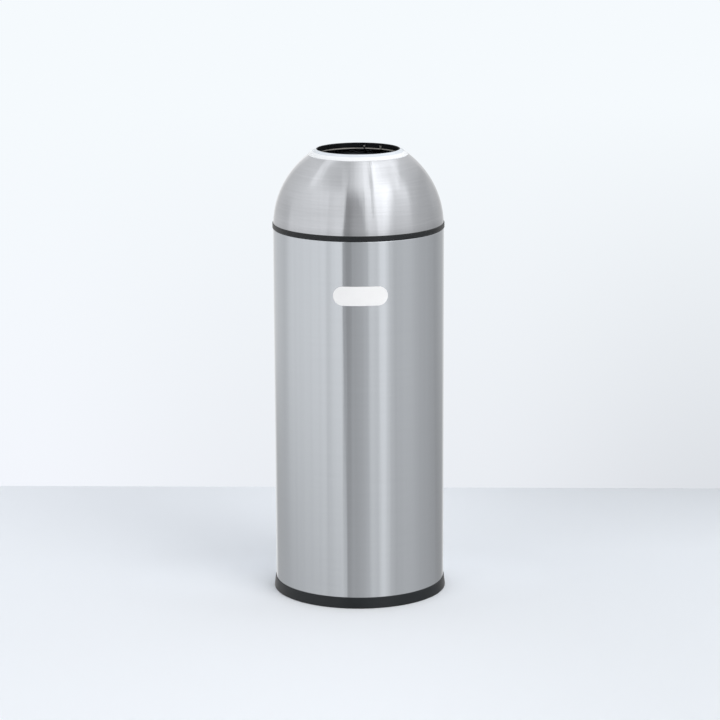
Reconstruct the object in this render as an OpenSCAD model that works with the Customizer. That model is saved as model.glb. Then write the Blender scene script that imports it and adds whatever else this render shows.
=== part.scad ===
// Dome top waste receptacle: a brushed steel tube on a black base ring, a spun
// dome with an open mouth that lifts off, and a galvanised liner with a bail.
// +Z is up, the origin is the centre of the base on the floor, the front is -Y.

/* [Body] */
// Outer radius of the body tube
body_r = 150; // [120:1:190]
// Height of the tube's top edge above the floor
body_top_z = 652.5; // [450:0.5:900]
// Thickness of the stainless sheet of the body and the dome
sheet_t = 0.8; // [0.6:0.1:1.2]
// Radius of the curl that closes the tube's top edge inwards
body_curl_r = 1.9; // [1.6:0.1:2.6]
// Width of the lapped seam at the back, inside the tube
seam_w = 12; // [8:1:20]
// Distance of the seam's lap from the floor pan and from the curl
seam_margin = 6; // [3:1:20]

/* [Base ring] */
// Height of the black ring that the tube stands in
base_h = 19.5; // [17:0.5:30]
// How far the ring's top stands out from the tube
base_lip = 1.3; // [1.2:0.1:4]
// How much further its foot stands out
base_flare = 2.1; // [0:0.1:4]
// Radius of the ring's upper outer edge
base_top_round = 1.1; // [0.3:0.1:1.1]
// Radius of the ring's lower outer edge
base_foot_round = 1.4; // [0.6:0.1:2]
// Thickness of the ring under the tube's lower edge
base_floor_t = 4; // [3:0.5:6]
// Thickness of the wall inside the tube
base_wall_t = 3; // [2:0.1:4]
// Height of the inside wall and the screw lugs, which the floor pan lies on
pan_z = 16; // [13:0.5:22]
// How far a screw lug reaches in from that wall
lug_l = 16; // [13:0.5:24]
// Width of a lug
lug_w = 26; // [18:1:32]
// Thickness of a lug
lug_t = 3; // [2:0.1:4]
// Bevel of the corners at a lug's tip
lug_bevel = 4; // [1:0.5:6]
// Thickness of the two ribs under a lug
rib_t = 2.4; // [1.6:0.1:3.2]
// Height of the ribs' lower end above the floor
rib_foot_z = 2; // [1:0.5:5]

/* [Floor pan] */
// Thickness of the pan's sheet
pan_t = 0.8; // [0.6:0.1:1.2]
// Height of its upturned flange
pan_flange_h = 13; // [8:1:24]
// Outer radius of the bend into the flange
pan_bend_r = 2.4; // [1.6:0.1:4]
// Height of the pressed step that centres the liner
pan_step_h = 5; // [3:0.5:6.5]
// Width of the step's slope
pan_step_run = 6; // [4:0.5:12]

/* [Liner] */
// Distance from the tube's top edge down to the liner's rim
liner_drop = 36.4; // [33:0.1:120]
// How much narrower the liner's foot is than its wall under the rim, in radius
liner_taper = 8.5; // [2:0.5:20]
// Thickness of the galvanised sheet
liner_t = 0.6; // [0.5:0.1:0.9]
// Radius of the wire inside the rolled rim
rim_wire_r = 1.9; // [1.5:0.1:2.2]
// Height of the liner's bottom above its foot
liner_recess = 8; // [7.5:0.5:16]
// Height of the folded hem inside the foot
hem_h = 5; // [3:0.5:6]
// Height of the shallow step pressed into the liner's bottom
bottom_step_h = 2; // [1:0.5:4]
// Radius of that step
bottom_step_r = 72; // [40:1:90]
// Radius of the swaged beads
bead_r = 3; // [2.2:0.1:3.6]
// Number of beads
bead_count = 3; // [1:1:3]
// Distance from the rim to the first bead
bead_drop = 70; // [50:1:90]
// Distance between beads
bead_pitch = 160; // [80:1:160]
// Width of the locked side seam
lock_w = 7; // [5:0.5:12]
// How far the locked seam stands out from the wall
lock_t = 1.2; // [0.8:0.1:1.6]
// Angle of the locked seam, clear of the bail and its ears
lock_angle = 225; // [210:1:240]

/* [Bail ears] */
// Distance from the rim down to the bail's pivot
pivot_drop = 16; // [14.5:0.5:24]
// Thickness of an ear
ear_t = 1.5; // [1:0.1:2]
// Width of an ear
ear_w = 38; // [35:1:46]
// Height of an ear
ear_h = 20; // [19:0.5:20.5]
// Radius of the ear's corners
ear_corner_r = 5; // [2:0.5:8]
// How far the pressed boss reaches out from the ear's back
boss_reach = 4.9; // [4.4:0.1:4.9]
// Outer radius of the boss at its foot
boss_r = 9; // [8:0.1:9.4]
// Outer radius of the boss at its face
boss_face_r = 7; // [6:0.1:7.5]
// Distance between the two rivets of an ear
rivet_pitch = 27; // [26:0.5:28]
// Radius of a rivet's shank
rivet_r = 1.9; // [1.5:0.1:2.4]
// Radius of a rivet's heads
rivet_head_r = 3.6; // [3.2:0.1:4]
// Height of a rivet's heads
rivet_head_h = 1.3; // [1:0.1:1.8]

/* [Bail] */
// Radius of the bail's wire
bail_wire_r = 2.5; // [2:0.1:2.5]
// Clearance between the liner's rim and the wire
bail_clear = 4; // [3.6:0.1:5]
// Clearance between the wire and the tube's curl that it lifts out through
bail_room = 6.5; // [5.5:0.1:12]
// Radius of the elbows that turn the wire into the ears
elbow_r = 6; // [5:0.1:8]
// How much the bend thins the wire in its elbows
elbow_thin = 0.15; // [0.1:0.05:0.4]
// Radius of the upset head on the end of the wire
pin_head_r = 3.6; // [3.2:0.1:4]
// Thickness of that head
pin_head_t = 1.2; // [0.8:0.1:1.5]
// Radius of the moulded grip
grip_r = 4.5; // [4:0.1:5]
// Length of the grip along the wire
grip_len = 90; // [60:1:120]

/* [Dome] */
// Radius of the arc that the dome is spun to
dome_arc_r = 156.5; // [156:0.5:175]
// How far the arc's centre lies below the dome's edge
dome_arc_drop = 5.5; // [0.5:0.5:9]
// How far the dome's edge is set in from the tube's face
dome_reveal = 0.35; // [0.1:0.05:1]
// Clear radius of the mouth
mouth_r = 71.8; // [50:0.1:80]
// Radius of the bend from the dome into its neck
neck_bend_r = 2.4; // [1.8:0.1:3.2]
// How far the neck reaches down below the steel hoop
neck_reach = 0.1; // [0:0.1:6]

/* [Mouth collar and trim] */
// Width of the white collar around the mouth
collar_w = 14.1; // [12:0.1:22]
// Thickness of its outer zone
collar_t = 0.8; // [0.6:0.1:1.4]
// Width of its inner zone
collar_inner_w = 6.6; // [5:0.1:9]
// Thickness of its inner zone
collar_inner_t = 0.4; // [0.3:0.1:0.5]
// Thickness of the black edge trim
trim_t = 1.5; // [1:0.1:2]
// Depth of the trim in the mouth
trim_depth = 8.7; // [6:0.1:14]
// How far the trim's bead stands above the collar
trim_proud = 0; // [0:0.1:0.6]
// Angle from the back to the joiner's middle, towards +X
joiner_angle = 23.3; // [0:0.1:60]
// Angle that the joiner spans between the strip's two ends
joiner_span = 23.4; // [12:0.1:40]
// Open width of each joint in the trim
joint_gap = 0.5; // [0.4:0.1:2]
// Height of the steel hoop below the trim
hoop_h = 2; // [1.2:0.1:3]
// Thickness of the hoop at its lower edge
hoop_t = 1.1; // [0.8:0.1:1.3]
// How much thinner it is at its upper edge
hoop_slant = 0.5; // [0.1:0.1:0.5]
// Open width of the split in the hoop
hoop_split = 3.8; // [1:0.1:8]
// Thickness of the hoop's tab, which grips the joiner's far end
tab_t = 0.6; // [0.4:0.1:0.8]
// Width of the tab
tab_w = 3.6; // [2:0.1:5]
// Height of the tab
tab_h = 7; // [4:0.1:8]
// Radius of the head of the stud that pins the strip's end over the split
stud_head_r = 1.6; // [1.4:0.1:2.4]
// Thickness of the stud's head
stud_head_t = 0.6; // [0.4:0.1:0.8]
// Radius of the stud's shank
stud_r = 0.9; // [0.6:0.1:1.1]
// Height of the stud above the trim's lower edge
stud_rise = 3.1; // [2.5:0.1:3.5]

/* [Dome seat ring] */
// Height of the black band that shows between tube and dome
band_h = 8.9; // [6:0.1:14]
// How far the band stands out from the tube
band_proud = 1.1; // [0.2:0.1:2]
// Bevel of the band's edges
band_bevel = 0.8; // [0.3:0.1:0.8]
// Depth of the spigot inside the tube
spigot_h = 12.3; // [8:0.1:18]
// Thickness of the spigot
spigot_t = 2.5; // [1.8:0.1:3]
// Lead-in at the spigot's lower edge
spigot_lead = 1.5; // [0.8:0.1:1.6]
// Thickness of the web that joins spigot and band
web_t = 3.2; // [2.4:0.1:5]
// Height of the upstand inside the dome
upstand_h = 9.5; // [7:0.1:10]
// Thickness of the upstand
upstand_t = 2.2; // [1.8:0.1:2.6]
// Radius of the screw bosses
ring_boss_r = 4.5; // [4:0.1:5]

/* [Dome brackets] */
// Thickness of a bracket
bracket_t = 1.2; // [1:0.1:1.6]
// Width of a bracket along the ring
bracket_w = 16; // [12:0.5:24]
// Height of its leg on the dome
bracket_h = 19; // [12:0.5:28]

/* [Screws] */
// Number of screws in the base ring and in the dome's ring
screw_count = 4; // [4:4:4]
// Radius of a screw's shank
screw_r = 1.95; // [1.7:0.05:2.1]
// Radius of its head
screw_head_r = 3.8; // [3.4:0.1:4]
// Height of its head
screw_head_h = 2.3; // [1.8:0.1:2.6]
// Radius of the cross recess's tip circle in the head
screw_recess_r = 1.8; // [1.2:0.1:2.2]
// How far the shank reaches past the sheet
screw_reach = 9; // [4:0.5:11]

/* [Front badge] */
// Width of the blank pill, straight across
badge_w = 94.3; // [60:0.1:120]
// Height of the pill
badge_h = 33.5; // [20:0.5:50]
// Distance from the tube's top edge down to its middle
badge_drop = 95; // [40:0.5:300]
// Thickness of the pill
badge_t = 1.2; // [0.6:0.1:2]
// Bevel step around its edge
badge_edge = 0.5; // [0.2:0.1:0.5]

/* [Hidden] */

// Clearances between pieces
lift_gap = 0.3;         // between pieces that lift off each other
pin_gap = 0.08;         // around the bail's pins
hole_gap = 0.1;         // around screws, rivets and wires in their holes
sheet_gap = 0.15;       // beside a sheet edge in its channel or fold
film = 0.05;            // adhesive or weld film under a thin piece
slip = 0.5;             // around the spigot in the tube's mouth
liner_play = 2.4;       // around the pan's step in the liner's foot
far = 1000;             // longer than anything that is cut

// Faces of a full turn, of a profile's small arcs and of small round parts
turn_fn = 128;
arc_fn = 24;
dome_fn = 160;
small_fn = 32;

steel = [0.74, 0.75, 0.77];
black = [0.13, 0.13, 0.14];
white = [0.93, 0.94, 0.95];
zinc = [0.62, 0.65, 0.67];
bright = [0.82, 0.83, 0.84];

// Base ring
channel_in_r = body_r - sheet_t - sheet_gap;
channel_out_r = body_r + sheet_gap;
base_in_r = channel_in_r - base_wall_t;
base_top_r = body_r + base_lip;
base_foot_r = base_top_r + base_flare;
lug_in_r = base_in_r - lug_l;
base_screw_r = base_in_r - lug_l / 2;
screw_turn = 360 / screw_count;

// Bail and liner rim, from the tube's curl inwards: the wall rolls outwards over its wire
bail_r = body_r - 2 * body_curl_r - bail_room - bail_wire_r;
rim_r = bail_r - bail_wire_r - bail_clear;
rim_z = body_top_z - liner_drop;
roll_in_r = rim_wire_r + lift_gap;
roll_r = roll_in_r + liner_t;
roll_x = rim_r - roll_r;
roll_z = rim_z - roll_r;
liner_top_r = roll_x - roll_r + liner_t;
liner_foot_r = liner_top_r - liner_taper;

// Floor pan and liner foot
pan_r = body_r - sheet_t - hole_gap;
pan_top_z = pan_z + pan_t;
liner_z = pan_top_z + lift_gap;
hem_w = 3 * liner_t + 2 * sheet_gap;
pan_step_r = liner_foot_r - hem_w - liner_play;

// Liner wall and bottom
bottom_z = liner_z + liner_recess;
bottom_r = liner_foot_r - liner_t - sheet_gap;
bottom_bend_r = 2 * liner_t + 1;
bead_zs = [for (i = [0 : bead_count - 1]) rim_z - bead_drop - i * bead_pitch];

function wall_r(z) =
    liner_foot_r + (liner_top_r - liner_foot_r) * (z - liner_z) / (roll_z - liner_z);

// Bail and its ears
pivot_z = rim_z - pivot_drop;
ear_z = pivot_z;
ear_in_r = wall_r(pivot_z + ear_h / 2) + lift_gap;
ear_out_r = ear_in_r + ear_t;
boss_x = ear_in_r + boss_reach;
rivet_angle = asin(rivet_pitch / 2 / ear_out_r);
elbow_a = asin(elbow_r / (bail_r - elbow_r));
elbow_x = (bail_r - elbow_r) * cos(elbow_a);
elbow_lap_a = 4;
grip_a = grip_len / bail_r * 180 / PI;
droop_guess = acos((wall_r(pivot_z) + grip_r + lift_gap) / bail_r);
droop_wall_r = wall_r(pivot_z - bail_r * sin(droop_guess));
bail_droop = acos((droop_wall_r + grip_r + lift_gap) / bail_r);

// Dome: one arc whose centre lies past the axis and below the edge
ring_z = body_top_z + lift_gap;
dome_z = ring_z + band_h;
dome_edge_r = body_r - dome_reveal;
arc_x = dome_edge_r - sqrt(pow(dome_arc_r, 2) - pow(dome_arc_drop, 2));
arc_z = dome_z - dome_arc_drop;
neck_r = mouth_r + trim_t + hole_gap;
bend_x = neck_r + neck_bend_r;
bend_a = acos((bend_x - arc_x) / (dome_arc_r - neck_bend_r));
bend_lap_a = 3;
bend_z = arc_z + (dome_arc_r - neck_bend_r) * sin(bend_a);

function dome_height(r, out) = arc_z + sqrt(pow(dome_arc_r + out, 2) - pow(r - arc_x, 2));

// Mouth
collar_r = neck_r + collar_w;
collar_step_r = neck_r + collar_inner_w;
collar_lip_z = bend_z + neck_bend_r / 3;
trim_top_z = dome_height(neck_r, collar_inner_t) + trim_proud;
trim_z = trim_top_z - trim_depth;
hoop_z = trim_z - hole_gap - hoop_h;
neck_z = hoop_z - neck_reach;
hoop_out_r = mouth_r + trim_t;
joiner_start = 90 - joiner_angle - joiner_span / 2;
joint_a = joint_gap / mouth_r * 180 / PI;
tab_a = tab_w / mouth_r * 180 / PI;
split_a = hoop_split / mouth_r * 180 / PI;
stud_inset = stud_head_r + hole_gap + joint_gap / 2;
stud_angle = joiner_start + joiner_span + stud_inset / mouth_r * 180 / PI;
stud_z = trim_z + stud_rise;

// Front badge
badge_z = body_top_z - badge_drop;

// Seat ring
band_r = body_r + band_proud;
spigot_r = body_r - 2 * body_curl_r - slip;
spigot_in_r = spigot_r - spigot_t;
upstand_top_z = dome_z + upstand_h;
upstand_r = min(dome_edge_r, upstand_reach(upstand_top_z)) - sheet_t - slip / 2;
upstand_in_r = upstand_r - upstand_t;
ring_screw_r = upstand_in_r - ring_boss_r + 0.9;

function upstand_reach(z) = arc_x + sqrt(pow(dome_arc_r, 2) - pow(z - arc_z, 2));

bracket_a = bracket_w / body_r * 180 / PI;
bracket_in_r = ring_screw_r - ring_boss_r;

// ---- Shared forms ----

// Flat ring
module ring_2d(r, r_in) {
    difference() {
        circle(r = r);
        circle(r = r_in);
    }
}

// Part of the plane between two angles less than a half turn apart
module wedge_2d(from_a, to_a, reach) {
    mid_a = (from_a + to_a) / 2;
    polygon([
        [0, 0],
        reach * [cos(from_a), sin(from_a)],
        2 * reach * [cos(mid_a), sin(mid_a)],
        reach * [cos(to_a), sin(to_a)]
    ]);
}

// Half section of a round shoulder: straight sides and one round outer corner
module shoulder_2d(r, h, bend) {
    square([r - bend, h]);
    square([r, h - bend]);
    translate([r - bend, h - bend]) circle(r = bend, $fn = arc_fn);
}

// Edge of a sheet curled through three quarters of a turn, away from +X
module curl_2d(r, t) {
    difference() {
        ring_2d(r, r - t, $fn = arc_fn);
        translate([0, -2 * r]) square(2 * r);
    }
}

// Rectangle with round corners
module plate_2d(w, h, r) {
    square([w - 2 * r, h], center = true);
    square([w, h - 2 * r], center = true);
    for (x = [-1, 1], y = [-1, 1])
        translate([x * (w / 2 - r), y * (h / 2 - r)]) circle(r = r, $fn = small_fn);
}

// Pan-head screw with its head's seat at z = 0 and its shank pointing up
module screw(reach) {
    difference() {
        union() {
            cylinder(r = screw_r, h = reach, $fn = small_fn);
            translate([0, 0, -screw_head_h]) {
                translate([0, 0, screw_head_h / 2])
                    cylinder(r = screw_head_r, h = screw_head_h / 2, $fn = small_fn);
                cylinder(r1 = screw_head_r * 0.8, r2 = screw_head_r,
                    h = screw_head_h / 2, $fn = small_fn);
            }
        }
        for (a = [0, 90])
            rotate(a) translate([0, 0, -screw_head_h])
                cube([2 * screw_recess_r, screw_recess_r / 2, screw_head_h], center = true);
    }
}

// Repeats a child at the screws' angles, on a circle
module at_screws(r) {
    for (i = [0 : screw_count - 1])
        rotate((i + 0.5) * screw_turn) translate([r, 0, 0]) children();
}

// ---- Body ----

module body_shell() {
    wall_h = body_top_z - body_curl_r - base_floor_t;
    seam_z = pan_z + pan_flange_h + seam_margin;
    seam_h = body_top_z - 2 * body_curl_r - seam_margin - seam_z;
    seam_a = seam_w / body_r * 180 / PI;
    color(steel) {
        rotate_extrude($fn = turn_fn) {
            translate([body_r - sheet_t, base_floor_t]) square([sheet_t, wall_h]);
            translate([body_r - body_curl_r, body_top_z - body_curl_r])
                curl_2d(body_curl_r, sheet_t);
        }
        rotate_extrude(angle = seam_a, start = 90 - seam_a / 2, $fn = turn_fn)
            translate([body_r - 2 * sheet_t, seam_z]) square([1.5 * sheet_t, seam_h]);
    }
}

module base_ring_2d() {
    difference() {
        union() {
            polygon([
                [base_in_r, 0],
                [base_foot_r - base_foot_round, 0],
                [base_foot_r, base_foot_round],
                [base_top_r, base_h - base_top_round],
                [base_top_r - base_top_round, base_h],
                [base_in_r, base_h]
            ]);
            translate([base_foot_r - base_foot_round, base_foot_round])
                circle(r = base_foot_round, $fn = arc_fn);
            translate([base_top_r - base_top_round, base_h - base_top_round])
                circle(r = base_top_round, $fn = arc_fn);
        }
        // Channel for the tube's edge
        translate([channel_in_r, base_floor_t]) square([channel_out_r - channel_in_r, base_h]);
        // Room for the floor pan above the inside wall
        translate([base_in_r - base_wall_t, pan_z]) square([2 * base_wall_t, base_h]);
    }
}

// Lug that a screw goes up through, with its tip at the origin and the wall towards +X
module screw_lug() {
    wall_x = lug_l + base_wall_t / 3;
    lug_z = pan_z - lug_t;
    translate([0, 0, lug_z]) linear_extrude(lug_t) polygon([
        [0, lug_bevel - lug_w / 2],
        [lug_bevel, -lug_w / 2],
        [wall_x, -lug_w / 2],
        [wall_x, lug_w / 2],
        [lug_bevel, lug_w / 2],
        [0, lug_w / 2 - lug_bevel]
    ]);
    for (side = [-1, 1])
        translate([0, side * (lug_w / 2 - rib_t), 0]) rotate([90, 0, 0])
            linear_extrude(rib_t, center = true) polygon([
                [lug_bevel, lug_z],
                [wall_x, rib_foot_z],
                [wall_x, lug_z + lug_t / 2],
                [lug_bevel, lug_z + lug_t / 2]
            ]);
}

module base_ring() {
    color(black) difference() {
        union() {
            rotate_extrude($fn = turn_fn) base_ring_2d();
            at_screws(lug_in_r) screw_lug();
        }
        at_screws(base_screw_r)
            cylinder(r = screw_r + hole_gap, h = 3 * pan_z, center = true, $fn = small_fn);
    }
}

module floor_pan_2d() {
    slope_r = pan_step_r - pan_step_run;
    // Flange and flat rim, drawn upside down
    translate([0, pan_z + pan_flange_h]) mirror([0, 1]) difference() {
        shoulder_2d(pan_r, pan_flange_h, pan_bend_r);
        shoulder_2d(pan_r - pan_t, pan_flange_h - pan_t, pan_bend_r - pan_t);
        square([pan_step_r + pan_bend_r / 2, pan_flange_h]);
    }
    polygon([
        [0, pan_z + pan_step_h],
        [slope_r, pan_z + pan_step_h],
        [pan_step_r, pan_z],
        [pan_step_r + pan_bend_r, pan_z],
        [pan_step_r + pan_bend_r, pan_top_z],
        [pan_step_r, pan_top_z],
        [slope_r, pan_top_z + pan_step_h],
        [0, pan_top_z + pan_step_h]
    ]);
}

module floor_pan() {
    color(zinc) difference() {
        rotate_extrude($fn = turn_fn) floor_pan_2d();
        at_screws(base_screw_r)
            cylinder(r = screw_r + hole_gap, h = 3 * pan_z, $fn = small_fn);
    }
}

module base_ring_screws() {
    color(bright) at_screws(base_screw_r)
        translate([0, 0, pan_z - lug_t]) screw(lug_t + screw_reach);
}

// Pill curved around the tube, smaller by an inset all round
module pill(t, inset) {
    h = badge_h - 2 * inset;
    intersection() {
        rotate_extrude($fn = turn_fn)
            translate([body_r + film, badge_z - badge_h]) square([t, 2 * badge_h]);
        translate([0, 0, badge_z]) rotate([90, 0, 0]) linear_extrude(body_r + 2 * badge_t) {
            square([badge_w - badge_h, h], center = true);
            for (side = [-1, 1])
                translate([side * (badge_w - badge_h) / 2, 0]) circle(r = h / 2, $fn = 64);
        }
    }
}

module front_badge() {
    color(white) {
        pill(badge_t - badge_edge, 0);
        pill(badge_t, badge_edge);
    }
}

// ---- Liner ----

module liner_wall_2d() {
    difference() {
        polygon([
            [liner_foot_r - liner_t, liner_z],
            [liner_foot_r, liner_z],
            [liner_top_r, roll_z],
            [liner_top_r - liner_t, roll_z]
        ]);
        for (z = bead_zs)
            translate([wall_r(z) - 2 * liner_t, z - bead_r + liner_t])
                square([3 * liner_t, 2 * (bead_r - liner_t)]);
    }
    for (z = bead_zs)
        translate([wall_r(z) - liner_t, z]) intersection() {
            ring_2d(bead_r, bead_r - liner_t, $fn = arc_fn);
            translate([0, -bead_r]) square([bead_r, 2 * bead_r]);
        }
    translate([roll_x, roll_z]) mirror([1, 0]) curl_2d(roll_r, liner_t);
    // Hem folded in around the bottom's flange
    translate([liner_foot_r - hem_w, liner_z]) {
        square([hem_w, liner_t]);
        square([liner_t, hem_h]);
    }
}

// Section of the locked seam, pressed flat at the beads
module lock_seam_2d() {
    foot_z = liner_z + hem_h;
    top_z = roll_z - roll_r - sheet_gap;
    difference() {
        polygon([
            [wall_r(foot_z) - liner_t / 2, foot_z],
            [wall_r(foot_z) + lock_t, foot_z],
            [wall_r(top_z) + lock_t, top_z],
            [wall_r(top_z) - liner_t / 2, top_z]
        ]);
        for (z = bead_zs)
            translate([liner_foot_r - lock_t, z - bead_r - slip])
                square([2 * body_r, 2 * (bead_r + slip)]);
    }
}

// Repeats a child along both sides' rivet axes, pointing out
module at_rivets() {
    for (side = [0, 180], a = [-1, 1])
        rotate(side + a * rivet_angle) translate([0, 0, ear_z]) rotate([0, 90, 0]) children();
}

module liner_wall() {
    lock_a = lock_w / liner_top_r * 180 / PI;
    color(zinc) difference() {
        union() {
            rotate_extrude($fn = turn_fn) liner_wall_2d();
            rotate_extrude(angle = lock_a, start = lock_angle - lock_a / 2, $fn = turn_fn)
                lock_seam_2d();
        }
        at_rivets() cylinder(r = rivet_r + hole_gap, h = far, $fn = small_fn);
    }
}

// Half section of the bottom's outside, or of its inside when inset by the sheet
module bottom_form_2d(h, inset) {
    top = h - inset;
    shoulder_2d(bottom_r - inset, top, bottom_bend_r - inset);
    polygon([
        [0, 0],
        [bottom_step_r + bottom_step_h, 0],
        [bottom_step_r + bottom_step_h, top],
        [bottom_step_r, top + bottom_step_h],
        [0, top + bottom_step_h]
    ]);
}

module liner_bottom() {
    flange_z = liner_z + liner_t + sheet_gap;
    color(zinc) rotate_extrude($fn = turn_fn) translate([0, flange_z]) difference() {
        bottom_form_2d(bottom_z - flange_z, 0);
        bottom_form_2d(bottom_z - flange_z, liner_t);
    }
}

module liner_rim_wire() {
    color(bright) rotate_extrude($fn = turn_fn)
        translate([roll_x, roll_z]) circle(r = rim_wire_r, $fn = arc_fn);
}

// One ear, on the +X side: a curved plate with a hollow boss pressed outwards
module ear() {
    difference() {
        union() {
            intersection() {
                rotate_extrude($fn = turn_fn)
                    translate([ear_in_r, ear_z - ear_h]) square([ear_t, 2 * ear_h]);
                translate([0, 0, ear_z]) rotate([90, 0, 90]) linear_extrude(far)
                    plate_2d(ear_w, ear_h, ear_corner_r);
            }
            translate([ear_in_r + ear_t / 2, 0, ear_z]) rotate([0, 90, 0])
                cylinder(r1 = boss_r, r2 = boss_face_r, h = boss_reach - ear_t / 2, $fn = 48);
        }
        translate([ear_in_r - ear_t, 0, ear_z]) rotate([0, 90, 0])
            cylinder(r1 = boss_r - ear_t, r2 = boss_face_r - ear_t,
                h = boss_reach, $fn = 48);
        translate([0, 0, ear_z]) rotate([0, 90, 0])
            cylinder(r = bail_wire_r + pin_gap, h = far, $fn = small_fn);
    }
}

module liner_ears() {
    color(zinc) difference() {
        for (side = [0, 180]) rotate(side) ear();
        at_rivets() cylinder(r = rivet_r + hole_gap, h = far, $fn = small_fn);
    }
}

module liner_rivets() {
    inner_x = wall_r(ear_z) - liner_t;
    color(bright) at_rivets() {
        translate([0, 0, inner_x - rivet_head_h - sheet_gap])
            cylinder(r = rivet_head_r, h = rivet_head_h, $fn = small_fn);
        translate([0, 0, inner_x - rivet_head_h])
            cylinder(r = rivet_r, h = ear_out_r + sheet_gap - inner_x + rivet_head_h,
                $fn = small_fn);
        translate([0, 0, ear_out_r + film])
            cylinder(r1 = rivet_head_r, r2 = rivet_head_r / 2, h = rivet_head_h,
                $fn = small_fn);
    }
}

// ---- Bail ----

// Repeats a child in the drooped bail's plane, with the pivot as its X axis
module in_bail() {
    translate([0, 0, pivot_z]) rotate([-bail_droop, 0, 0]) children();
}

// Elbow, pin and upset head at one end; side is 1 for +X and -1 for -X
module bail_end(side) {
    head_x = boss_x - ear_t - lift_gap - pin_head_t;
    elbow_start = side > 0 ? -90 : 180 - elbow_a;
    translate([side * elbow_x, elbow_r, 0])
        rotate_extrude(angle = 90 + elbow_a + 2 * elbow_lap_a,
            start = elbow_start - elbow_lap_a, $fn = turn_fn)
            translate([elbow_r, 0]) circle(r = bail_wire_r - elbow_thin, $fn = small_fn);
    translate([side * head_x, 0, 0]) rotate([0, side * 90, 0]) {
        cylinder(r = pin_head_r, h = pin_head_t, $fn = small_fn);
        cylinder(r = bail_wire_r, h = elbow_x - head_x, $fn = small_fn);
    }
}

module bail_wire() {
    color(bright) in_bail() {
        rotate_extrude(angle = 180 - 2 * elbow_a, start = elbow_a, $fn = turn_fn)
            translate([bail_r, 0]) circle(r = bail_wire_r, $fn = small_fn);
        for (side = [-1, 1]) bail_end(side);
    }
}

module bail_grip() {
    color(black) in_bail()
        rotate_extrude(angle = grip_a, start = 90 - grip_a / 2, $fn = turn_fn)
            translate([bail_r, 0]) ring_2d(grip_r, bail_wire_r + hole_gap, $fn = small_fn);
}

// ---- Dome ----

module dome_shell() {
    color(steel) rotate_extrude($fn = turn_fn) {
        intersection() {
            translate([arc_x, arc_z]) intersection() {
                ring_2d(dome_arc_r, dome_arc_r - sheet_t, $fn = dome_fn);
                wedge_2d(-10, bend_a, 2 * dome_arc_r);
            }
            translate([0, dome_z]) square(2 * dome_arc_r);
        }
        translate([bend_x, bend_z]) intersection() {
            ring_2d(neck_bend_r, neck_bend_r - sheet_t, $fn = arc_fn);
            wedge_2d(bend_a - bend_lap_a, 180 + bend_lap_a, 2 * neck_bend_r);
        }
        translate([neck_r, neck_z]) square([sheet_t, bend_z - neck_z]);
    }
}

module mouth_collar() {
    color(white) rotate_extrude($fn = turn_fn) difference() {
        union() {
            intersection() {
                translate([arc_x, arc_z]) circle(r = dome_arc_r + collar_t, $fn = dome_fn);
                translate([collar_step_r, arc_z]) square([collar_r - collar_step_r, far]);
            }
            intersection() {
                translate([arc_x, arc_z])
                    circle(r = dome_arc_r + collar_inner_t, $fn = dome_fn);
                union() {
                    translate([neck_r, collar_lip_z]) square([collar_inner_w, far]);
                    translate([bend_x, bend_z - neck_bend_r]) square([collar_step_r - bend_x, far]);
                }
            }
        }
        translate([arc_x, arc_z]) intersection() {
            circle(r = dome_arc_r + film, $fn = dome_fn);
            wedge_2d(-10, bend_a, 2 * dome_arc_r);
        }
        translate([bend_x, bend_z]) circle(r = neck_bend_r + film, $fn = arc_fn);
    }
}

module trim_2d() {
    translate([mouth_r, trim_z]) square([trim_t, trim_depth - trim_t / 2]);
    translate([mouth_r + trim_t / 2, trim_top_z - trim_t / 2])
        circle(r = trim_t / 2, $fn = arc_fn);
}

// Places a child at the stud, with its Z axis pointing out from the mouth's middle
module at_stud() {
    rotate(stud_angle) translate([0, 0, stud_z]) rotate([0, 90, 0]) children();
}

module opening_trim() {
    color(black) difference() {
        rotate_extrude(angle = 360 - joiner_span - joint_a,
            start = joiner_start + joiner_span + joint_a / 2, $fn = turn_fn)
            trim_2d();
        at_stud() cylinder(r = stud_r + hole_gap, h = far, $fn = small_fn);
    }
}

module trim_joiner() {
    color(black)
        rotate_extrude(angle = joiner_span - joint_a, start = joiner_start + joint_a / 2,
            $fn = turn_fn)
            trim_2d();
}

// Split steel hoop under the trim, its tab and the stud over its split
module trim_hoop() {
    tab_x = mouth_r - film - tab_t;
    head_x = mouth_r - film - stud_head_t;
    color(bright) {
        rotate_extrude(angle = 360 - split_a, start = stud_angle + split_a / 2, $fn = turn_fn)
            polygon([
                [hoop_out_r - hoop_t, hoop_z],
                [hoop_out_r, hoop_z],
                [hoop_out_r, hoop_z + hoop_h],
                [hoop_out_r - hoop_t + hoop_slant, hoop_z + hoop_h]
            ]);
        rotate_extrude(angle = tab_a, start = joiner_start - tab_a / 2, $fn = turn_fn) {
            translate([tab_x, hoop_z]) square([tab_t, tab_h]);
            translate([tab_x, hoop_z]) square([hoop_out_r - hoop_t / 2 - tab_x, hoop_h]);
        }
        at_stud() translate([0, 0, head_x]) {
            cylinder(r = stud_head_r, h = stud_head_t, $fn = small_fn);
            cylinder(r = stud_r, h = trim_t + film + stud_head_t, $fn = small_fn);
        }
    }
}

module seat_ring_2d() {
    polygon([
        [spigot_in_r, ring_z - spigot_h],
        [spigot_r - spigot_lead / 2, ring_z - spigot_h],
        [spigot_r, ring_z - spigot_h + spigot_lead],
        [spigot_r, ring_z],
        [band_r - band_bevel, ring_z],
        [band_r, ring_z + band_bevel],
        [band_r, dome_z - band_bevel],
        [band_r - band_bevel, dome_z],
        [upstand_r, dome_z],
        [upstand_r, upstand_top_z - band_bevel],
        [upstand_r - band_bevel, upstand_top_z],
        [upstand_in_r, upstand_top_z],
        [upstand_in_r, ring_z + web_t],
        [spigot_in_r, ring_z + web_t]
    ]);
}

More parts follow.
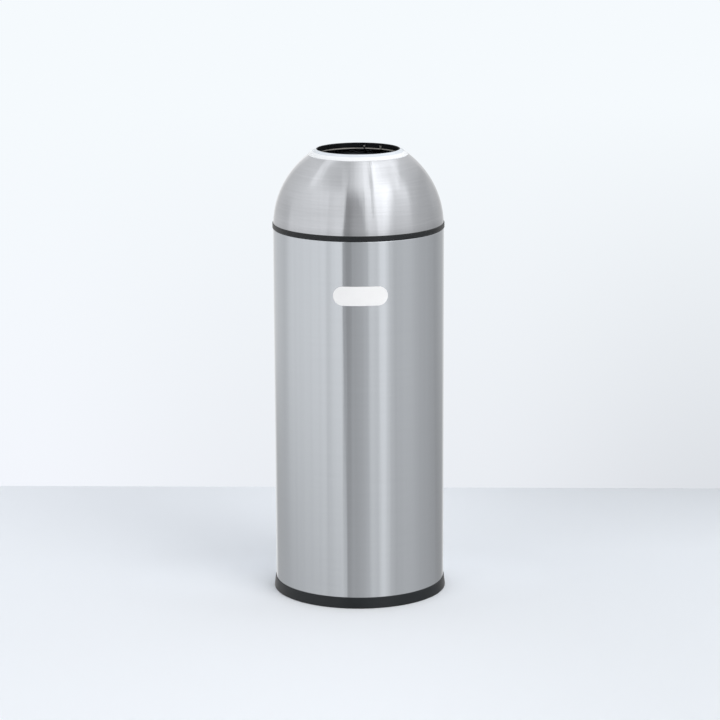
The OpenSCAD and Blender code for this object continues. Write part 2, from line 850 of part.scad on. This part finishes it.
module dome_seat_ring() {
    color(black) difference() {
        union() {
            rotate_extrude($fn = turn_fn) seat_ring_2d();
            at_screws(ring_screw_r) translate([0, 0, ring_z])
                cylinder(r = ring_boss_r, h = upstand_top_z - ring_z, $fn = small_fn);
        }
        at_screws(ring_screw_r) translate([0, 0, ring_z + web_t])
            cylinder(r = screw_r + hole_gap, h = far, $fn = small_fn);
    }
}

module bracket_2d() {
    weld_r = dome_arc_r - sheet_t - hole_gap;
    intersection() {
        translate([arc_x, arc_z]) ring_2d(weld_r, weld_r - bracket_t, $fn = dome_fn);
        translate([0, upstand_top_z]) square([2 * dome_arc_r, bracket_h]);
    }
    translate([bracket_in_r, upstand_top_z])
        square([upstand_reach(upstand_top_z + bracket_t) - sheet_t - hole_gap
            - bracket_t / 2 - bracket_in_r, bracket_t]);
}

module dome_brackets() {
    color(zinc) difference() {
        for (i = [0 : screw_count - 1])
            rotate_extrude(angle = bracket_a,
                start = (i + 0.5) * screw_turn - bracket_a / 2, $fn = turn_fn)
                bracket_2d();
        at_screws(ring_screw_r) translate([0, 0, upstand_top_z])
            cylinder(r = screw_r + hole_gap, h = 3 * bracket_t, center = true,
                $fn = small_fn);
    }
}

module seat_ring_screws() {
    color(bright) at_screws(ring_screw_r)
        translate([0, 0, upstand_top_z + bracket_t]) mirror([0, 0, 1])
            screw(bracket_t + screw_reach);
}

body_shell();
floor_pan();
base_ring();
base_ring_screws();
front_badge();
liner_wall();
liner_bottom();
liner_rim_wire();
liner_ears();
liner_rivets();
bail_wire();
bail_grip();
dome_shell();
mouth_collar();
opening_trim();
trim_joiner();
trim_hoop();
dome_seat_ring();
dome_brackets();
seat_ring_screws();
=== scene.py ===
"""Looks of the dome top waste receptacle: brushed steel, black and white mouldings, a galvanised
liner and a plain studio. Metres, +Z up, the front is -Y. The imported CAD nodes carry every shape."""

import math

import bpy
from mathutils import Matrix, Vector


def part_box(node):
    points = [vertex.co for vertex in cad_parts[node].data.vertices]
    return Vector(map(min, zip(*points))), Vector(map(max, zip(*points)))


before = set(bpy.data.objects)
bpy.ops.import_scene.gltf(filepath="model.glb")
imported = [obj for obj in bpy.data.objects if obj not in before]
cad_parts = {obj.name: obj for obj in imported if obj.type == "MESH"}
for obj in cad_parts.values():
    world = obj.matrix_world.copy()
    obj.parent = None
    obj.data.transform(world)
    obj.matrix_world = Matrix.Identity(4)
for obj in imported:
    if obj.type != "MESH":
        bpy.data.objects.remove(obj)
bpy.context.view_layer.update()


# ---- Node helpers ----

class Tree:
    """Adds and links the nodes of one material or world."""

    def __init__(self, tree):
        tree.nodes.clear()
        self.nodes = tree.nodes
        self.links = tree.links

    def add(self, kind, inputs=None, **settings):
        """A new node with its settings; inputs maps a socket's name or index to a value or a socket."""
        node = self.nodes.new(kind)
        for name, value in settings.items():
            setattr(node, name, value)
        for name, value in (inputs or {}).items():
            if isinstance(value, bpy.types.NodeSocket):
                self.links.new(value, node.inputs[name])
            else:
                node.inputs[name].default_value = value
        return node

    def math(self, operation, a, b=0.0):
        return self.add("ShaderNodeMath", {0: a, 1: b}, operation=operation).outputs[0]

    def vector_math(self, operation, a, b=(0, 0, 0)):
        return self.add("ShaderNodeVectorMath", {0: a, 1: b}, operation=operation).outputs["Vector"]

    def vector(self, x, y, z):
        return self.add("ShaderNodeCombineXYZ", {0: x, 1: y, 2: z}).outputs[0]

    def mix(self, factor, a, b):
        """Plain number between a and b."""
        node = self.add("ShaderNodeMix", data_type="FLOAT")
        for name, value in {"Factor": factor, "A": a, "B": b}.items():
            self.feed(node, name, value)
        return node.outputs["Result"]

    def tint(self, factor, a, b, blend="MIX"):
        """Colour between a and b; each is a socket or three numbers."""
        node = self.add("ShaderNodeMix", data_type="RGBA", blend_type=blend)
        for name, value in {"Factor": factor, "A": a, "B": b}.items():
            if isinstance(value, tuple):
                value = (*value, 1.0)
            self.feed(node, name, value)
        return [s for s in node.outputs if s.type == "RGBA"][0]

    def feed(self, node, name, value):
        """Sets or links the one enabled input of that name, as a Mix node has one for each data type."""
        socket = [s for s in node.inputs if s.name == name and s.enabled][0]
        if isinstance(value, bpy.types.NodeSocket):
            self.links.new(value, socket)
        else:
            socket.default_value = value

    def ramp(self, value, low, high, out_low=0.0, out_high=1.0, kind="SMOOTHSTEP"):
        """Value between two limits, mapped to out_low and out_high."""
        inputs = {"Value": value, "From Min": low, "From Max": high, "To Min": out_low, "To Max": out_high}
        return self.add("ShaderNodeMapRange", inputs, interpolation_type=kind).outputs["Result"]

    def spread(self, noise, out_low, out_high):
        """A noise, whose values lie mostly from 0.3 to 0.7, mapped to out_low and out_high."""
        return self.ramp(noise, 0.3, 0.7, out_low, out_high)

    def noise(self, vector, scale, detail=2.0, roughness=0.5):
        inputs = {"Vector": vector, "Scale": scale, "Detail": detail, "Roughness": roughness}
        return self.add("ShaderNodeTexNoise", inputs).outputs["Fac"]

    def bump(self, height, distance, normal=None):
        """Normal of a height from 0 to 1 that stands for a distance in metres."""
        inputs = {"Height": height, "Distance": distance, "Strength": 1.0}
        if normal is not None:
            inputs["Normal"] = normal
        return self.add("ShaderNodeBump", inputs).outputs["Normal"]

    def place(self):
        """The point in the row frame at rest."""
        return self.add("ShaderNodeTexCoord").outputs["Object"]

    def split(self, vector):
        """The x, y and z of a vector."""
        return self.add("ShaderNodeSeparateXYZ", {0: vector}).outputs

    def radius(self, x, y):
        """Distance from the axis."""
        squares = self.math("ADD", self.math("MULTIPLY", x, x), self.math("MULTIPLY", y, y))
        return self.math("SQRT", squares)

    def shaded(self, colour, shade):
        """Colour times a plain number that varies over the surface."""
        grey = self.add("ShaderNodeCombineColor", {0: shade, 1: shade, 2: shade}).outputs[0]
        return self.tint(1.0, colour, grey, blend="MULTIPLY")


def material(name):
    made = bpy.data.materials.new(name)
    made.use_nodes = True
    return made, Tree(made.node_tree)


def surface(tree, shader):
    tree.add("ShaderNodeOutputMaterial", {"Surface": shader})


def principled(tree, **inputs):
    """Principled shader; an underscore in a name stands for a space."""
    named = {name.replace("_", " "): value for name, value in inputs.items()}
    return tree.add("ShaderNodeBsdfPrincipled", named).outputs["BSDF"]


# ---- Camera, as the photograph was taken ----

CAMERA_DISTANCE = 4.99      # from the tube's axis, level
CAMERA_HEIGHT = 1.517
CAMERA_TURN = -1.2          # degrees round the axis: the badge faces a little to the right
CAMERA_TILT = 12.477        # degrees down
CAMERA_YAW = 0.021          # degrees to the right
CAMERA_ROLL = -0.234        # degrees
CAMERA_LENS = 144.07        # mm on a 36 mm sensor
PHOTOGRAPHER = (-0.0205, -0.9777, 0.2091)   # fixed direction, from the middle of the bin


def make_camera():
    data = bpy.data.cameras.new("camera")
    data.sensor_width = 36.0
    data.lens = CAMERA_LENS
    data.clip_start = 0.05
    data.clip_end = 60.0
    camera = bpy.data.objects.new("camera", data)
    turn = math.radians(CAMERA_TURN)
    place = Matrix.Rotation(turn, 4, "Z") @ Matrix.Translation((0, -CAMERA_DISTANCE, CAMERA_HEIGHT))
    yaw = Matrix.Rotation(-math.radians(CAMERA_YAW), 4, "Z")
    tilt = Matrix.Rotation(math.radians(90 - CAMERA_TILT), 4, "X")
    roll = Matrix.Rotation(math.radians(CAMERA_ROLL), 4, "Z")
    camera.matrix_world = place @ yaw @ tilt @ roll
    bpy.context.scene.collection.objects.link(camera)
    bpy.context.scene.camera = camera


# ---- Studio ----

WALL_Y = 0.67               # the wall stands behind the bin
WALL_TURN = -0.051          # how its y changes per metre to the right
STAGE_SPAN = 9.0            # from the middle to the floor's edges and to the wall's top
# The floor's colour is darker on the right than on the left: painted shade.
FLOOR_LEFT = (0.865, 0.887, 0.918)
FLOOR_RIGHT_WITH_PAINTED_SHADE = (0.795, 0.818, 0.846)
FLOOR_FADE_X = (-0.1, 0.55)         # x where the one starts to turn into the other, and where it has
FLOOR_PAINTED_LIGHT = 1.14           # painted light, paler beside the bin, because the steel throws no lamp light on the floor
FLOOR_LIFT_PLACE = (-0.03, 0.05, 0)
FLOOR_LIFT_SHAPE = (2.2, 4.4, 0)    # one over its reach each way
FLOOR_CORNER_PAINTED_SHADE = 0.835        # painted shade, darker towards the far right corner
FLOOR_CORNER_X = (-0.1, 0.9)
FLOOR_CORNER_Y = (0.2, 0.65)
WALL_COLOUR = (0.86, 0.895, 0.94)
WALL_TOP = (0.915, 0.955, 0.985)    # what the camera sees of the wall high up
WALL_LEFT = (0.90, 0.925, 0.98)     # and what it sees of the wall's foot
WALL_MIDDLE = (0.825, 0.85, 0.895)
WALL_RIGHT = (0.725, 0.75, 0.79)
WALL_LEFT_X = (-0.7, -0.1)          # x where the left tone starts to turn, and where it has
WALL_RIGHT_X = (0.2, 0.75)
WALL_FADE = 0.78            # height over which it lightens; painted shade makes it darker towards the floor


def plane(name, corners, finish):
    """Plane of the studio, which the steel doesn't mirror."""
    mesh = bpy.data.meshes.new(name)
    mesh.from_pydata(corners, [], [(0, 1, 2, 3)])
    mesh.materials.append(finish)
    made = bpy.data.objects.new(name, mesh)
    made.visible_glossy = False
    bpy.context.scene.collection.objects.link(made)


def make_floor():
    """Floor with painted shade that darkens it to the right and painted light that makes it a little paler
    round the bin.
    """
    made, tree = material("floor_paper")
    place = tree.place()
    x, y, _ = tree.split(place)
    colour = tree.tint(tree.ramp(x, *FLOOR_FADE_X), FLOOR_LEFT, FLOOR_RIGHT_WITH_PAINTED_SHADE)
    # painted shade, darker towards the far right corner
    corner = tree.math("MULTIPLY", tree.ramp(x, *FLOOR_CORNER_X, kind="LINEAR"),
                       tree.ramp(y, *FLOOR_CORNER_Y, kind="LINEAR"))
    colour = tree.shaded(colour, tree.ramp(corner, 0.0, 1.0, 1.0, FLOOR_CORNER_PAINTED_SHADE, kind="LINEAR"))
    # painted light, paler round the bin, which weakens its shadow there
    offset = tree.vector_math("SUBTRACT", place, FLOOR_LIFT_PLACE)
    share = tree.vector_math("MULTIPLY", offset, FLOOR_LIFT_SHAPE)
    away = tree.add("ShaderNodeVectorMath", {0: share}, operation="LENGTH").outputs["Value"]
    colour = tree.shaded(colour, tree.ramp(away, 0.0, 1.0, FLOOR_PAINTED_LIGHT, 1.0))
    matt = tree.add("ShaderNodeBsdfDiffuse", {"Color": colour}).outputs[0]
    surface(tree, see_through_back(tree, matt))
    s = STAGE_SPAN
    plane("floor", [(-s, -s, 0), (s, -s, 0), (s, s, 0), (-s, s, 0)], made)


def make_wall():
    """Wall that the camera sees at a plain brightness, with painted shade a little darker towards the
    floor and the right.
    """
    made, tree = material("wall_paper")
    matt = tree.add("ShaderNodeBsdfDiffuse", {"Color": (*WALL_COLOUR, 1.0)}).outputs[0]
    x, _, height = tree.split(tree.place())
    # painted shade: the wall's foot darkens from left to right, and the wall darkens towards the floor
    foot = tree.tint(tree.ramp(x, *WALL_LEFT_X), WALL_LEFT, WALL_MIDDLE)
    foot = tree.tint(tree.ramp(x, *WALL_RIGHT_X), foot, WALL_RIGHT)
    tone = tree.tint(tree.ramp(height, 0.0, WALL_FADE, kind="LINEAR"), foot, WALL_TOP)
    seen = tree.add("ShaderNodeEmission", {"Color": tone, "Strength": 1.0}).outputs[0]
    camera = tree.add("ShaderNodeLightPath").outputs["Is Camera Ray"]
    front = tree.add("ShaderNodeMixShader", {0: camera, 1: matt, 2: seen}).outputs[0]
    surface(tree, see_through_back(tree, front))
    s = STAGE_SPAN
    left = WALL_Y - WALL_TURN * s
    right = WALL_Y + WALL_TURN * s
    plane("wall", [(-s, left, 0), (s, right, 0), (s, right, s), (-s, left, s)], made)


def see_through_back(tree, shader):
    clear = tree.add("ShaderNodeBsdfTransparent").outputs[0]
    back = tree.add("ShaderNodeNewGeometry").outputs["Backfacing"]
    return tree.add("ShaderNodeMixShader", {0: back, 1: shader, 2: clear}).outputs[0]


class Card:
    """Part of the room that the steel mirrors.

    Its place is told by the mirror that shows it to the photographer. Across is twice the mirror's
    turn to the right and up is twice its tilt upwards, in degrees. So edges that look straight on the
    tube and the dome have plain numbers. Both side edges may lean: lean is how far each moves to the
    right per degree up. Brightness runs from the left edge to the right one, and rise is added to it
    per degree up. Soft and fade are the widths of the blurred sides and of the lower and upper edge."""

    def __init__(self, sides, heights, bright, lean=(0, 0), soft=(5, 5), fade=(10, 10), rise=0.0):
        self.sides, self.heights, self.bright = sides, heights, bright
        self.lean, self.soft, self.fade, self.rise = lean, soft, fade, rise

    def paint(self, tree, across, up, below):
        """The room's brightness with this card over what is below it."""
        mask = 1.0
        for side, lean, soft, way in zip(self.sides, self.lean, self.soft, ((0.0, 1.0), (1.0, 0.0))):
            level = across
            if lean:
                level = tree.math("SUBTRACT", across, tree.math("MULTIPLY", up, lean))
            mask = tree.math("MULTIPLY", mask, tree.ramp(level, side - soft / 2, side + soft / 2, *way))
        for height, fade, way in zip(self.heights, self.fade, ((0.0, 1.0), (1.0, 0.0))):
            mask = tree.math("MULTIPLY", mask, tree.ramp(up, height - fade / 2, height + fade / 2, *way))
        bright = tree.ramp(across, *self.sides, *self.bright, kind="LINEAR")
        bright = tree.math("ADD", bright, tree.math("MULTIPLY", up, self.rise))
        return tree.mix(mask, below, bright)


TO_DEGREES = math.degrees(1)
FAR = 200                   # side or height past every mirror's reach, for a card that goes on
ROOM_PLAIN = 0.65           # where no card is
ROOM_STRIPES = 0.025        # how much fine upright stripes lighten and darken it
ROOM_STRIPE_SCALE = 0.22    # stripes per degree across
ROOM_FOOT = 0.88            # share that is left towards the floor
ROOM_FOOT_UP = (-7.0, 1.0)  # where up that is reached, and where it starts
ROOM = {
    "left wall": Card((-118, -20), (-FAR, FAR), (0.76, 0.89), lean=(0.25, 0.1), soft=(20, 4),
                      rise=-0.0022),
    "left wall, far part": Card((-FAR, -118), (-FAR, FAR), (0.78, 0.61), lean=(0, 0.3), soft=(10, 18),
                                rise=-0.0018),
    "left wall, above": Card((-115, -60), (46, FAR), (0.80, 1.06), lean=(-0.7, 0.7), soft=(20, 20),
                             fade=(35, 10), rise=-0.0035),
    "arch": Card((-116, -109), (68, 113), (0.95, 0.95), lean=(0.65, 0.7), soft=(6, 10), fade=(13, 8)),
    "alcove": Card((-50, -18), (66, 101), (0.66, 0.60), lean=(0.05, -0.05), soft=(20, 10), fade=(20, 14)),
    "mullion": Card((-46, -39), (-FAR, 60), (0.69, 0.76), lean=(0.08, 0.12), soft=(4, 16)),
    "right wall, near part": Card((38, 77), (-FAR, 80), (0.56, 0.62), lean=(0.1, -0.15), soft=(6, 10),
                                  rise=0.005),
    "right wall": Card((74, FAR), (-FAR, FAR), (0.55, 0.25), lean=(0.08, 0), soft=(20, 4)),
    "right wall, far part": Card((122, FAR), (-FAR, FAR), (0.40, 0.66), lean=(-0.28, 0), soft=(14, 4),
                                 rise=0.0025),
    "right arch": Card((86, 90), (60, 113), (1.1, 1.1), lean=(-0.6, -0.4), soft=(18, 8), fade=(35, 8)),
    "right wall, above": Card((61, 109), (70, FAR), (0.70, 0.36), lean=(-0.15, -0.35), soft=(16, 18),
                              fade=(38, 10)),
    "window": Card((10, 46), (-FAR, 69), (0.75, 0.63), lean=(-0.05, 0), soft=(4, 8), fade=(10, 18),
                   rise=0.006),
    "upper window": Card((22, 57), (66, FAR), (0.50, 1.42), lean=(0, -0.04), soft=(16, 9),
                         fade=(12, 10), rise=-0.002),
    "window's middle": Card((25, 35), (-FAR, 109), (0.85, 0.98), lean=(-0.1, 0.1), soft=(6, 14),
                            fade=(10, 18), rise=0.008),
    "inner sill": Card((29, 45), (72, 107), (1.20, 0.95), lean=(-0.1, 0), soft=(20, 8), fade=(24, 16)),
    "doorway": Card((-23.6, 11), (-FAR, 73), (0.35, 0.56), lean=(0.09, -0.22), soft=(1.5, 7),
                    fade=(10, 9), rise=-0.0012),
    "above the doorway": Card((-12, 13), (62, FAR), (0.78, 1.40), lean=(-0.1, 0), soft=(12, 10),
                              fade=(30, 10), rise=-0.0016),
    "door post, above": Card((-15, -13.2), (64, 92), (0.58, 0.58), soft=(1, 1)),
    "window's frame": Card((17.9, 19.6), (30, 110), (0.68, 0.72), lean=(-0.04, -0.04), soft=(0.8, 2.2),
                           fade=(14, 8)),
    "door post": Card((-23.6, -12.5), (-FAR, 52), (0.33, 0.31), lean=(0.09, 0.04), soft=(1.5, 5),
                      fade=(10, 30)),
    "floor, left": Card((-FAR, -23.6), (-FAR, -4.5), (0.50, 0.57), fade=(10, 8)),
    "door post's foot": Card((-21, -9), (-FAR, 0), (0.38, 0.50), soft=(1.5, 6), fade=(10, 3)),
    "door stop": Card((-26, -19.3), (-FAR, -2), (0.74, 0.74), soft=(4, 2), fade=(10, 2.5)),
}

# What stands on the far side, by the plain angle from there and the height above the level.
FAR_SIDE = {
    "far wall": Card((-22, 22), (-90, 60), (0.74, 0.66), soft=(9, 9), fade=(10, 20)),
    "far window": Card((-13, -4), (-90, 50), (0.95, 0.98), soft=(3, 3), fade=(10, 20)),
}


def make_world():
    world = bpy.data.worlds.new("room")
    bpy.context.scene.world = world
    world.use_nodes = True
    tree = Tree(world.node_tree)
    direction = tree.add("ShaderNodeTexCoord").outputs["Generated"]
    mirror = tree.vector_math("NORMALIZE", tree.vector_math("ADD", direction, PHOTOGRAPHER))
    x, _, z = tree.split(mirror)
    across = tree.math("MULTIPLY", tree.math("ARCSINE", x), 2 * TO_DEGREES)
    up = tree.math("MULTIPLY", tree.math("ARCSINE", z), 2 * TO_DEGREES)
    value = ROOM_PLAIN
    for card in ROOM.values():
        value = card.paint(tree, across, up, value)
    stripes = tree.noise(tree.vector(across, 0.0, 0.0), ROOM_STRIPE_SCALE)
    value = tree.math("MULTIPLY", value, tree.spread(stripes, 1 - ROOM_STRIPES, 1 + ROOM_STRIPES))
    value = tree.math("MULTIPLY", value, tree.ramp(up, *ROOM_FOOT_UP, ROOM_FOOT, 1.0))
    x, y, z = tree.split(direction)
    around = tree.math("MULTIPLY", tree.math("ARCTAN2", x, y), TO_DEGREES)
    height = tree.math("MULTIPLY", tree.math("ARCSINE", z), TO_DEGREES)
    for card in FAR_SIDE.values():
        value = card.paint(tree, around, height, value)
    room = tree.add("ShaderNodeBackground", {"Color": (1, 1, 1, 1), "Strength": value}).outputs[0]
    plain = tree.add("ShaderNodeBackground", {"Color": (*WALL_TOP, 1), "Strength": 1.0}).outputs[0]
    seen = tree.add("ShaderNodeLightPath").outputs["Is Camera Ray"]
    mixed = tree.add("ShaderNodeMixShader", {0: seen, 1: room, 2: plain}).outputs[0]
    tree.add("ShaderNodeOutputWorld", {"Surface": mixed})


def lamp(name, place, aim, size, power):
    """Soft square lamp that lights matt surfaces; the steel mirrors the room instead."""
    data = bpy.data.lights.new(name, "AREA")
    data.shape = "SQUARE"
    data.size = size
    data.energy = power
    made = bpy.data.objects.new(name, data)
    made.location = place
    made.rotation_euler = (Vector(aim) - Vector(place)).to_track_quat("-Z", "Y").to_euler()
    made.visible_glossy = False
    made.visible_camera = False
    bpy.context.scene.collection.objects.link(made)


def make_lamps():
    """Each with its place, the point it faces, its width and its watts."""
    lamp("key", (2.4, -2.9, 3.4), (0, 0, 0.5), 2.4, 44)
    lamp("fill", (-2.6, -2.4, 3.0), (0, 0, 0.4), 2.4, 8)
    lamp("top", (0, -0.2, 4.2), (0, 0, 0), 3.0, 13)


# ---- Materials ----

TUBE_STEEL = (0.706, 0.74, 0.784)
DOME_STEEL = (0.722, 0.74, 0.776)
DOME_ARC_R = 0.1565         # the dome's spun arc: radius, and its centre in the half section
DOME_ARC_X = -0.00675
DOME_ARC_Z = 0.6562
DOME_FOOT_H = 0.014         # height over which painted shade makes it a little darker above the seat ring
DOME_FOOT_PAINTED_SHADE = 0.88
BRUSH_LINES = (6.0, 2200.0)     # waves per metre along and across the brush lines
BRUSH_STREAKS = (9.0, 300.0)    # and along and across the wider streaks among them
BRUSH_DEPTH = 0.000004
RIPPLES = (14.0, 1.5)       # the sheet's slow ripples, per radian round the axis and per metre across
RIPPLE_DEPTH = 0.00012
TUBE_STREAK = 0.008         # how much a streak lightens and darkens the steel
DOME_STREAK = 0.022
STEEL_GLOSS = {"Roughness": 0.13, "Anisotropic": 0.85, "Anisotropic_Rotation": 0.25}
COLLAR_OUTER_W = 0.0075     # width of the collar's thicker, outer zone
COLLAR_STEP = 0.0003        # half the width over which one zone's colour turns into the other's
# the outer zone's paler colour is a painted highlight
COLLAR_INNER = (0.74, 0.78, 0.825)
COLLAR_OUTER_PAINTED_HIGHLIGHT = (0.91, 0.925, 0.94)
ZINC_DARK = (0.50, 0.52, 0.545)
ZINC_PALE = (0.66, 0.68, 0.70)
ZINC_FLAKES = 95.0          # per metre
ZINC_ROUGH = (0.32, 0.5)    # roughness of the darkest flake and of the palest
ZINC_WAVES = 30.0           # per metre
ZINC_WAVE_DEPTH = 0.00015
DRAWN_MARKS = 900.0         # marks that wire and screws keep from being drawn, per metre
DRAWN_DEPTH = 0.00002


def brushed_steel(name, colour, spun):
    """Steel brushed round the axis; spun steel has its lines along the dome's arc and painted shade just
    above the seat ring.
    """
    made, tree = material(name)
    x, y, z = tree.split(tree.place())
    across = z
    if spun:
        angle = tree.math("ARCTAN2", tree.math("SUBTRACT", z, DOME_ARC_Z),
                          tree.math("SUBTRACT", tree.radius(x, y), DOME_ARC_X))
        across = tree.math("MULTIPLY", angle, DOME_ARC_R)
    around = tree.math("ARCTAN2", x, y)
    lines = brush_lines(tree, x, y, across, *BRUSH_LINES)
    streaks = brush_lines(tree, x, y, across, *BRUSH_STREAKS)
    ripples = tree.noise(tree.vector(tree.math("MULTIPLY", around, RIPPLES[0]), 0.0,
                                     tree.math("MULTIPLY", across, RIPPLES[1])), 1.0)
    normal = tree.bump(lines, BRUSH_DEPTH, normal=tree.bump(ripples, RIPPLE_DEPTH))
    tangent = tree.add("ShaderNodeTangent", direction_type="RADIAL", axis="Z").outputs[0]
    streak = DOME_STREAK if spun else TUBE_STREAK
    shade = tree.spread(streaks, 1 - streak, 1 + streak)
    # painted shade on the dome just above the seat ring
    if spun:
        foot_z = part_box("dome_shell")[0][2]
        foot = tree.ramp(z, foot_z, foot_z + DOME_FOOT_H, DOME_FOOT_PAINTED_SHADE, 1.0)
        shade = tree.math("MULTIPLY", shade, foot)
    surface(tree, principled(tree, Base_Color=tree.shaded(colour, shade), Metallic=1.0,
                             Tangent=tangent, Normal=normal, **STEEL_GLOSS))
    return made


def brush_lines(tree, x, y, across, along_waves, across_waves):
    """Noise drawn out round the axis, with that many waves per metre each way."""
    place = tree.vector(tree.math("MULTIPLY", x, along_waves), tree.math("MULTIPLY", y, along_waves),
                        tree.math("MULTIPLY", across, across_waves))
    return tree.noise(place, 1.0, detail=3.0, roughness=0.6)


def plastic(tree, colour, rough, grain, depth, clouds=25.0, mottle=0.1, gloss=0.5):
    """Moulded plastic. Grain is the width of its fine pits and depth their depth, in metres.
    Clouds is how many slow clouds a metre has: they take the roughness from one value of rough to the
    other, and lighten and darken the colour by mottle."""
    place = tree.place()
    pits = tree.noise(place, 1 / grain, detail=3.0)
    cloud = tree.noise(place, clouds, detail=3.0)
    toned = tree.shaded(colour, tree.spread(cloud, 1 - mottle, 1 + mottle))
    surface(tree, principled(tree, Base_Color=toned, Roughness=tree.spread(cloud, *rough),
                             Normal=tree.bump(pits, depth), Specular_IOR_Level=gloss))


def moulded(name, colour, **finish):
    """Plastic of one colour."""
    made, tree = material(name)
    plastic(tree, colour, **finish)
    return made


def collar_plastic(name):
    """Satin white, with the inner zone of the collar a shade darker and bluer than the outer one, whose
    paler colour is a painted highlight.
    """
    made, tree = material(name)
    x, y, _ = tree.split(tree.place())
    outer_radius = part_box("mouth_collar")[1][0]
    step = outer_radius - COLLAR_OUTER_W
    zone = tree.ramp(tree.radius(x, y), step - COLLAR_STEP, step + COLLAR_STEP)
    colour = tree.tint(zone, COLLAR_INNER, COLLAR_OUTER_PAINTED_HIGHLIGHT)
    plastic(tree, colour, rough=(0.2, 0.28), grain=1 / 900, depth=0.00001, clouds=40.0, mottle=0.015,
            gloss=0.3)
    return made


def galvanised(name):
    """Zinc with its frozen flakes, each with its own tone and roughness."""
    made, tree = material(name)
    place = tree.place()
    flakes = tree.add("ShaderNodeTexVoronoi", {"Vector": place, "Scale": ZINC_FLAKES}).outputs["Color"]
    flake = tree.add("ShaderNodeSeparateColor", {0: flakes}).outputs[0]
    tone = tree.tint(flake, ZINC_DARK, ZINC_PALE)
    rough = tree.ramp(flake, 0.0, 1.0, *ZINC_ROUGH, kind="LINEAR")
    waves = tree.noise(place, ZINC_WAVES, detail=4.0)
    surface(tree, principled(tree, Base_Color=tone, Metallic=1.0, Roughness=rough,
                             Normal=tree.bump(waves, ZINC_WAVE_DEPTH)))
    return made


def bright_metal(name, colour, rough, metallic=1.0):
    """Small bright part with fine drawing marks, which take its roughness from one value to the other."""
    made, tree = material(name)
    marks = tree.noise(tree.place(), DRAWN_MARKS, detail=3.0)
    surface(tree, principled(tree, Base_Color=(*colour, 1.0), Metallic=metallic,
                             Roughness=tree.spread(marks, *rough), Normal=tree.bump(marks, DRAWN_DEPTH)))
    return made


FINISH = {
    "tube": (brushed_steel("steel_tube", TUBE_STEEL, spun=False), ["body_shell"]),
    "dome": (brushed_steel("steel_dome", DOME_STEEL, spun=True), ["dome_shell"]),
    "band": (moulded("band_moulding", (0.0105, 0.0125, 0.0145), rough=(0.29, 0.39), grain=0.0006,
                     depth=0.00003, gloss=0.42), ["dome_seat_ring"]),
    "base": (moulded("base_moulding", (0.0095, 0.0125, 0.0155), rough=(0.31, 0.41), grain=0.0006,
                     depth=0.00003, gloss=0.4), ["base_ring"]),
    "badge": (moulded("badge_moulding", (0.93, 0.925, 0.92), rough=(0.3, 0.4), grain=0.0012,
                      depth=0.00001, mottle=0.01), ["front_badge"]),
    "collar": (collar_plastic("collar_moulding"), ["mouth_collar"]),
    "rubber": (moulded("edge_rubber", (0.007, 0.008, 0.0095), rough=(0.27, 0.37), grain=0.0008,
                       depth=0.00003, gloss=0.4), ["opening_trim", "trim_joiner"]),
    "grip": (moulded("grip_plastic", (0.02, 0.02, 0.022), rough=(0.45, 0.55), grain=0.0007,
                     depth=0.00004), ["bail_grip"]),
    "zinc": (galvanised("galvanised_sheet"),
             ["floor_pan", "liner_wall", "liner_bottom", "liner_ears", "dome_brackets"]),
    "wire": (bright_metal("zinc_wire", (0.62, 0.63, 0.64), rough=(0.27, 0.39)),
             ["bail_wire", "liner_rim_wire"]),
    "spring": (bright_metal("spring_strip", (0.40, 0.39, 0.365), rough=(0.35, 0.47), metallic=0.7),
               ["trim_hoop"]),
    "fastener": (bright_metal("zinc_fastener", (0.66, 0.67, 0.68), rough=(0.25, 0.37)),
                 ["base_ring_screws", "liner_rivets", "seat_ring_screws"]),
}


def dress():
    for finish, names in FINISH.values():
        for name in names:
            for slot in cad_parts[name].material_slots:
                slot.material = finish


make_camera()
make_floor()
make_wall()
make_world()
make_lamps()
dress()

bpy.context.scene.view_settings.view_transform = "Standard"
